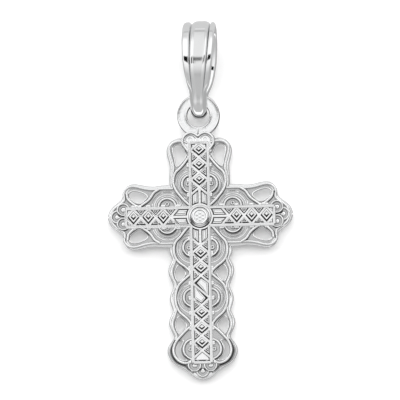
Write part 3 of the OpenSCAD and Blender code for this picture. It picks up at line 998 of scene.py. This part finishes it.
def cross_mesh():
    """The whole cross as one fused solid, in the frame."""
    trees = {"sweep": sweep_tree(), "stud": stud_tree(), "fuse": fuse_tree()}
    cutters = bpy.data.objects.new("hole cutters", hole_cutters(levels()))
    nothing = bpy.data.objects.new("no cutters", bpy.data.meshes.new("nothing"))
    for helper in (cutters, nothing):
        bpy.context.scene.collection.objects.link(helper)
    pierced = run_tree(trees["fuse"], joined(plate(trees)), cutters=cutters)
    bars = lattice(trees) + boss()
    for part in bars:
        part.transform(Matrix.Translation((0, -BARS_DROP, 0)))
    parts = [pierced] + wires(trees) + beads(levels()) + bars
    mesh = run_tree(trees["fuse"], joined(parts), cutters=nothing)
    for helper in (cutters, nothing):
        used = helper.data
        bpy.data.objects.remove(helper)
        bpy.data.meshes.remove(used)
    to_frame(mesh)
    return mesh


def new_piece(name, mesh, body, cad_node, material):
    """One finished piece, which rides on its body and stands for its CAD node."""
    if not mesh.polygons:
        raise RuntimeError(name + " came out empty")
    mesh.name = name
    mesh.materials.clear()
    mesh.materials.append(material)
    piece = bpy.data.objects.new(name, mesh)
    bpy.context.scene.collection.objects.link(piece)
    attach(piece, body)
    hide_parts(cad_node)
    return piece


# Bail
def lookup(height, column):
    """A column of the bail's form at a height."""
    rows = sorted(BAIL_FORM)
    return np.interp(height, [r[0] for r in rows], [r[column] for r in rows])


def bezier(a, b, c, d, t):
    """A point of the curve that leaves a towards b and comes to d from c."""
    return (1 - t) ** 3 * a + 3 * t * (1 - t) ** 2 * b + 3 * t * t * (1 - t) * c + t ** 3 * d


def side_view(shoulder, crown, foot_half, foot_low, shoulder_z, steps):
    """The strap's line seen from the side, once round from the top over the front: (depth, height)."""
    points = [(shoulder * math.cos(a), shoulder_z + crown * math.sin(a))
              for a in np.linspace(math.pi / 2, 0, steps + 1)]
    start = np.array([shoulder, shoulder_z])
    end = np.array([foot_half * math.cos(FOOT_START), -ROD_DROP - foot_low * math.sin(FOOT_START)])
    reach = 0.35 * np.linalg.norm(end - start)
    tangent = np.array([-foot_half * math.sin(FOOT_START), -foot_low * math.cos(FOOT_START)])
    pull = reach * tangent / np.linalg.norm(tangent)
    for k in range(1, steps):
        points.append(tuple(bezier(start, start + np.array([0, -reach]), end - pull, end, k / steps)))
    points += [(foot_half * math.cos(a), -ROD_DROP - foot_low * math.sin(a))
               for a in np.linspace(FOOT_START, math.pi / 2, steps // 2 + 4)]
    half = np.array(points)
    return np.vstack([flipped(half, -1), half[-2:0:-1]])


def lobes(at, groove_depth, power, panel):
    """Height of the lobed outside over the strap's width, from 0 in the middle to 1 at the edge."""
    crown, lean = 0.05, 0.15
    if at <= GROOVE_AT:
        sunk = min(max((PANEL_EDGE + 0.02 - at) / 0.04, 0), 1)
        return -groove_depth * (at / GROOVE_AT) ** (2 * power) - panel * sunk
    middle, half = (1 + GROOVE_AT) / 2, (1 - GROOVE_AT) / 2
    fall = abs((at - middle) / half) ** (2 * power)
    return -crown - lean * (at - GROOVE_AT) - (groove_depth - crown) * fall


def strap_places():
    """Places over the strap's width, from -1 to 1, closest at the panel's edges and in the grooves."""
    bend = np.sin(np.linspace(-math.pi / 2, math.pi / 2, 13)[1:])
    middle = [
        0, 0.1, 0.2, 0.27, 0.31, 0.33, 0.34, 0.35, 0.36, 0.37, 0.4, 0.44, 0.48, 0.51, 0.54, 0.56, 0.58,
        GROOVE_AT,
    ]
    right = np.concatenate([middle, (1 + GROOVE_AT) / 2 + (1 - GROOVE_AT) / 2 * bend])
    return np.concatenate([-right[:0:-1], right])


def strap_section(s, places, outer, inner, outward):
    """Points of one section of the strap: over its lobed outside, and back over its plain inside."""
    depth, height = outer
    width, lobed = lookup(height, 1) / 2, lookup(height, 2)
    width -= np.interp(height, NARROWING, (0.09, 0)) * np.clip(depth / 0.4, 0, 1)
    groove = s.groove_depth / MM
    power = np.interp(height, (-0.6, 0.5), (6.0, 2.0))
    panel = s.panel_depth / MM * (PANEL_END < height < PANEL_TOP and depth < 0)
    points = []
    for a in places:
        rise = lobed * lobes(abs(a), groove, power, panel) - (1 - lobed) * FOOT_ROUND * abs(a) ** 3
        skewed = a + (1 - a * a) * np.interp(height, *LOBE_SKEW)
        points.append((skewed * width, depth + rise * outward[0], height + rise * outward[1]))
    edge_rise = lobed * lobes(1, groove, power, 0) - (1 - lobed) * FOOT_ROUND
    rim = outer + edge_rise * outward
    inset = np.interp(height, NARROWING, (0.22, 0.1))
    right = [(width + 0.02 - inset * t * t, *(rim + t * (inner - rim))) for t in (0.12, 0.5, 0.88)]
    inside = [(x * (width - inset - 0.05), *inner) for x in (1, 0.5, 0, -0.5, -1)]
    return points + right + inside + [(-x, y, z) for x, y, z in reversed(right)]


def bail_mesh():
    """The bail as one closed strap, in the frame, hung a little out of line."""
    s = bpy.context.scene.pendant_bail
    strap, foot, half = s.strap_thick / MM, s.foot_thick / MM, s.depth / MM / 2
    outer = side_view(
        half, SHOULDER_DROP, THROAT_RADIUS + strap + 0.05, THROAT_RADIUS + foot, strap - SHOULDER_DROP,
        s.steps,
    )
    inner = side_view(
        half - strap, INNER_SHOULDER_DROP, THROAT_RADIUS, THROAT_RADIUS, -INNER_SHOULDER_DROP, s.steps,
    )
    ahead = np.roll(outer, -1, axis=0) - np.roll(outer, 1, axis=0)
    outward = np.column_stack([ahead[:, 1], -ahead[:, 0]]) / np.linalg.norm(ahead, axis=1)[:, None]
    places = strap_places()
    sections = [strap_section(s, places, *rows) for rows in zip(outer, inner, outward)]
    count, size = len(sections), len(sections[0])
    faces = []
    for i in range(count):
        here, there = i * size, (i + 1) % count * size
        for k in range(size):
            n = (k + 1) % size
            faces.append((here + k, there + k, there + n, here + n))
    mesh = mesh_of("bail", [p for section in sections for p in section], faces=faces)
    hung = Matrix.Rotation(BAIL_LEAN, 4, "Y") @ Matrix.Rotation(BAIL_TURN, 4, "Z")
    foot_bottom = Vector((0, 0, -ROD_DROP - THROAT_RADIUS))
    to_foot = Matrix.Translation(foot_bottom + Vector((BAIL_SHIFT, 0, 0)))
    mesh.transform(Matrix.Scale(MM, 4) @ to_foot @ hung @ Matrix.Translation(-foot_bottom))
    return mesh


# Finishes
def shader(name):
    """A new material, and its empty tree."""
    material = bpy.data.materials.new(name)
    material.use_nodes = True
    material.node_tree.nodes.clear()
    return material, material.node_tree


def noise(tree, coords, scale):
    """Clouds or grain, by the scale."""
    return add(tree, "ShaderNodeTexNoise", {"Vector": coords, "Scale": scale, "Detail": 3.0}).outputs["Fac"]


def ramp(tree, value, rows, low=-1.0, high=1.0):
    """Values along a range, given as rows of (place, value)."""
    made = add(tree, "ShaderNodeValToRGB", {0: value})
    elements = made.color_ramp.elements
    while len(elements) < len(rows):
        elements.new(0.5)
    for element, (place, tone) in zip(elements, rows):
        element.position = min(max((place - low) / (high - low), 0.0), 1.0)
        element.color = (tone, tone, tone, 1)
    return made.outputs[0]


def metal(tree, tone, rough, relief, strength, distance):
    """Ends a silver's tree: the colour darkened by the tone, the roughness, and fine relief."""
    colour = (*bpy.context.scene.pendant_finish.colour, 1)
    toned = add(tree, "ShaderNodeMix", {0: 1.0, 6: colour, 7: tone}, data_type="RGBA", blend_type="MULTIPLY")
    surface = shade(tree, "BsdfPrincipled", {
        "Base Color": toned.outputs[2], "Metallic": 1.0, "Roughness": rough,
        "Normal": shade(tree, "Bump", {"Strength": strength, "Distance": distance, "Height": relief}),
    })
    add(tree, "ShaderNodeOutputMaterial", {"Surface": surface})


def bail_finish():
    """Mirror-polished silver with hairline scratches and slight waves from buffing."""
    s = bpy.context.scene.pendant_finish
    material, tree = shader("polished silver")
    coords = add(tree, "ShaderNodeTexCoord").outputs["Object"]
    clouds = noise(tree, coords, 900.0)
    hairs = noise(tree, shade(tree, "Mapping", {0: coords, "Scale": (1.0, 1.0, 0.06)}), 9000.0)
    tone = map_range(tree, clouds, 0.3, 0.7, 0.97 * s.bail_tone, s.bail_tone)
    rough = map_range(tree, hairs, 0.35, 0.75, s.polish, s.polish + 0.06)
    metal(tree, tone, rough, hairs, 0.04, 0.02 * MM)
    return material


def cross_finish():
    """Bright cast silver: polished on its high lines and softer in its hollows, with painted shade darkening
    the ground, the bars' floors and the steep sides.
    """
    s, z = bpy.context.scene.pendant_finish, levels()
    material, tree = shader("cast silver")
    coords = add(tree, "ShaderNodeTexCoord").outputs["Object"]
    depth = add(tree, "ShaderNodeSeparateXYZ", {0: coords}).outputs["Y"]
    grain = noise(tree, coords, 5200.0)
    clouds = noise(tree, coords, 700.0)
    low, high = -0.4, 0.8
    # The bars' floors get a nearly black painted shade tone of 0.06
    ground, floor, bar_floor_painted_shade = z["front"], z["bar"], 0.06
    height = map_range(tree, depth, -low * MM, -high * MM, 0.0, 1.0)
    # Painted shade by height: the skirt a little dark, the plate's ground at the recess tone, the high lines
    # full
    flat = ramp(tree, height, [
        (0.0, 0.95), (ground - 0.01, 0.95), (ground - 0.004, s.painted_recess_shade), (ground + 0.004, s.painted_recess_shade),
        (ground + 0.012, 1.0), (floor - 0.012, 1.0), (floor - 0.006, bar_floor_painted_shade), (floor + 0.006, bar_floor_painted_shade),
        (floor + 0.012, 1.0),
    ], low, high)
    # The painted shade stored on the corners of the cross
    painted_shade = add(tree, "ShaderNodeAttribute", attribute_name="painted_shade").outputs["Fac"]
    start, full = ((ground + lift - low) / (high - low) for lift in (-0.02, 0.08))
    # The corners' painted shade is weaker on the skirt below the plate's front
    raised = map_range(tree, height, start, full, 0.22, 1.0)
    tone = product(tree, flat, maths(tree, "SUBTRACT", 1.0, product(tree, painted_shade, raised)))
    mottled = product(tree, tone, map_range(tree, clouds, 0.3, 0.7, 0.94, 1.0))
    rough = map_range(tree, tone, 0.2, 1.0, s.cast, 0.16)
    metal(tree, mottled, rough, grain, 0.12, 0.03 * MM)
    return material


# Studio
# The paper from the bottom to the top: (height, how far back)
PAPER_BEND = [
    (-74, 0.7), (-11, 0.7), (-9.8, 0.7), (-9.2, 0.73), (-8.6, 0.82), (-8.0, 1.0), (-7.4, 1.25), (-6.8, 1.5),
    (-6.2, 1.75), (-5.5, 2.0), (-4.8, 2.2), (-4.0, 2.32), (-3.0, 2.36), (-1.0, 2.36), (46, 2.36),
]
PAPER_HALF = 60
# The front of the boss in the frame, and how far to the right of it and above it the camera aims
BOSS_FRONT = (0, -0.5, -15.7)
AIM = (0.012, 1.258)


def add_camera():
    """The camera, far off and a little below the middle, with the cross and bail in its frame."""
    s = bpy.context.scene.pendant_studio
    a, e, r = s.azimuth, s.elevation, s.roll
    back = Vector((math.sin(a) * math.cos(e), -math.cos(a) * math.cos(e), math.sin(e)))
    level_right = Vector((math.cos(a), math.sin(a), 0))
    level_up = back.cross(level_right)
    right = math.cos(r) * level_right - math.sin(r) * level_up
    up = math.sin(r) * level_right + math.cos(r) * level_up
    target = Vector(BOSS_FRONT) * MM + AIM[0] * MM * right + AIM[1] * MM * up
    data = bpy.data.cameras.new("camera")
    data.lens = s.lens
    data.sensor_width = 36.0
    data.clip_start = 0.01
    data.clip_end = 10.0
    camera = bpy.data.objects.new("camera", data)
    bpy.context.scene.collection.objects.link(camera)
    distance = s.frame_width * s.lens / data.sensor_width
    turn = Matrix((right, up, back)).transposed()
    camera.matrix_world = Matrix.Translation(target + distance * back) @ turn.to_4x4()
    bpy.context.scene.camera = camera


def add_world():
    """A light tent: white above and at the sides, grey in front, with a dark gap where the lens looks in."""
    world = bpy.data.worlds.new("light tent")
    bpy.context.scene.world = world
    world.use_nodes = True
    tree = world.node_tree
    tree.nodes.clear()
    coords = add(tree, "ShaderNodeTexCoord").outputs["Generated"]
    parts = add(tree, "ShaderNodeSeparateXYZ", {0: coords}).outputs
    ahead = product(tree, parts["Y"], -1.0)
    turn = map_range(tree, maths(tree, "ARCTAN2", parts["Z"], ahead), -math.pi, math.pi, 0.0, 1.0)
    aside = maths(tree, "ABSOLUTE", maths(tree, "ADD", parts["X"], 0.06))

    def round_about(rows):
        """Tones by the angle above straight in front, in degrees, once round over the top and back."""
        return ramp(tree, turn, rows, -180, 180)

    def across(rows):
        """Tones by how far to the left or right."""
        return ramp(tree, aside, rows, 0.0)

    below = [(-180, 0.47), (-99, 0.5), (-96, 0.08), (-92, 0.08), (-90, 1.2), (-72, 1.2)]
    above = [(71, 0.5), (73, 0.5), (75, 0.68), (160, 0.68), (180, 0.47)]
    middle = round_about(below + [
        (-70, 0.55), (-28, 0.54), (-22, 0.5), (-17, 0.6), (-9, 0.74), (-2, 0.82), (2, 0.86), (10, 0.88),
        (55, 0.84), (68, 0.76),
    ] + above)
    open_side = round_about(below + [
        (-70, 0.55), (-33, 0.57), (-17, 0.76), (-10, 0.86), (-6, 0.94), (3, 1.0), (10.5, 1.15), (48, 1.15),
        (58, 0.72), (69, 0.72),
    ] + above)
    walls = mix(tree, map_range(tree, aside, 0.14, 0.22, 0.0, 1.0), middle, open_side)
    weak_gap = round_about([(-180, 0.0), (10.2, 0.0), (12.2, 0.8), (15.4, 0.8), (17.4, 0.0), (180, 0.0)])
    full_gap = round_about([(-180, 0.0), (5.8, 0.0), (6.2, 1.0), (17.0, 1.0), (17.4, 0.0), (180, 0.0)])
    in_gap = across([(0.0, 0.0), (0.1, 0.0), (0.14, 1.0), (0.5, 1.0), (0.6, 0.0)])
    near_middle = across([(0.0, 0.0), (0.04, 0.0), (0.06, 1.0), (0.1, 1.0), (0.14, 0.0)])
    gap = maths(tree, "ADD", product(tree, weak_gap, near_middle), product(tree, full_gap, in_gap))
    walls = product(tree, walls, maths(tree, "SUBTRACT", 1.0, gap))
    reflected = mix(tree, map_range(tree, aside, 0.8, 0.92, 0.0, 1.0), walls, 0.45)
    height = map_range(tree, parts["Z"], -1.0, 1.0, 0.0, 1.0)
    on_paper = ramp(tree, height, [
        (-1.0, 0.2), (-0.2, 0.4), (0.1, 0.85), (0.4, 2.3), (0.85, 2.3), (1.0, 1.15),
    ])
    path = add(tree, "ShaderNodeLightPath").outputs
    tone = mix(tree, path["Is Glossy Ray"], on_paper, reflected)
    tent = shade(tree, "Background", {"Color": tone, "Strength": bpy.context.scene.pendant_studio.light})
    white = shade(tree, "Background", {"Color": (1, 1, 1, 1), "Strength": 1.0})
    mixed = shade(tree, "MixShader", {0: path["Is Camera Ray"], 1: tent, 2: white})
    add(tree, "ShaderNodeOutputWorld", {"Surface": mixed})


def add_backdrop():
    """A white paper that the cross lies close before, bent back behind the bail. Its back is see-through."""
    points = [(x * MM, y * MM, z * MM) for z, y in PAPER_BEND for x in (-PAPER_HALF, PAPER_HALF)]
    faces = [(2 * i, 2 * i + 1, 2 * i + 3, 2 * i + 2) for i in range(len(PAPER_BEND) - 1)]
    mesh = mesh_of("backdrop", points, faces=faces)
    mesh.shade_smooth()
    material, tree = shader("white paper")
    paper = shade(tree, "BsdfPrincipled", {
        "Base Color": (0.98, 0.98, 0.98, 1), "Roughness": 0.9, "Specular IOR Level": 0.0,
        "Emission Color": (1, 1, 1, 1), "Emission Strength": 0.08,
    })
    turned_away = add(tree, "ShaderNodeNewGeometry").outputs["Backfacing"]
    mixed = shade(tree, "MixShader", {0: turned_away, 1: paper, 2: shade(tree, "BsdfTransparent")})
    add(tree, "ShaderNodeOutputMaterial", {"Surface": mixed})
    mesh.materials.append(material)
    sheet = bpy.data.objects.new("backdrop", mesh)
    bpy.context.scene.collection.objects.link(sheet)
    sheet.visible_glossy = False


# Operators
class PENDANT_OT_bail(Operator):
    """Builds the three-lobed bail"""

    bl_idname = "pendant.bail"
    bl_label = "Build Bail"

    def execute(self, context):
        mesh = bail_mesh()
        crisp(mesh, 50)
        new_piece("bail_strap", mesh, "bail", "bail", bail_finish())
        return {"FINISHED"}


class PENDANT_OT_cross(Operator):
    """Builds the cast filigree cross as one fused solid"""

    bl_idname = "pendant.cross"
    bl_label = "Build Cross"

    def execute(self, context):
        mesh = cross_mesh()
        crisp(mesh, 33)
        # Painted shade on the cross, stored per corner for its finish
        note_painted_shade(mesh)
        new_piece("cross_casting", mesh, "cross", "cross", cross_finish())
        return {"FINISHED"}


class PENDANT_OT_stage(Operator):
    """Adds the camera, the light tent and the backdrop"""

    bl_idname = "pendant.stage"
    bl_label = "Set Up Studio"

    def execute(self, context):
        add_camera()
        add_world()
        add_backdrop()
        context.scene.view_settings.view_transform = "Standard"
        return {"FINISHED"}


class PENDANT_PT_panel(Panel):
    """Lists the steps that build the pendant"""

    bl_idname = "PENDANT_PT_panel"
    bl_label = "Cross Pendant"
    bl_space_type = "VIEW_3D"
    bl_region_type = "UI"
    bl_category = "Pendant"

    def draw(self, context):
        for step in STEPS:
            self.layout.operator(step.bl_idname)


STEPS = (PENDANT_OT_bail, PENDANT_OT_cross, PENDANT_OT_stage)
GROUPS = {
    "pendant_cross": CrossSizes,
    "pendant_bail": BailSizes,
    "pendant_finish": SilverFinish,
    "pendant_studio": StudioSettings,
}


def register():
    """Makes the classes and the scene's settings known."""
    for group in (*GROUPS.values(), *STEPS, PENDANT_PT_panel):
        bpy.utils.register_class(group)
    for name, group in GROUPS.items():
        setattr(bpy.types.Scene, name, PointerProperty(type=group))


def unregister():
    """Takes the settings and the classes away again."""
    for name in GROUPS:
        delattr(bpy.types.Scene, name)
    for group in (PENDANT_PT_panel, *reversed(STEPS), *GROUPS.values()):
        bpy.utils.unregister_class(group)


def main():
    """Builds the pieces and the studio in order."""
    register()
    bpy.ops.pendant.bail()
    bpy.ops.pendant.cross()
    bpy.ops.pendant.stage()


if __name__ == "__main__":
    main()
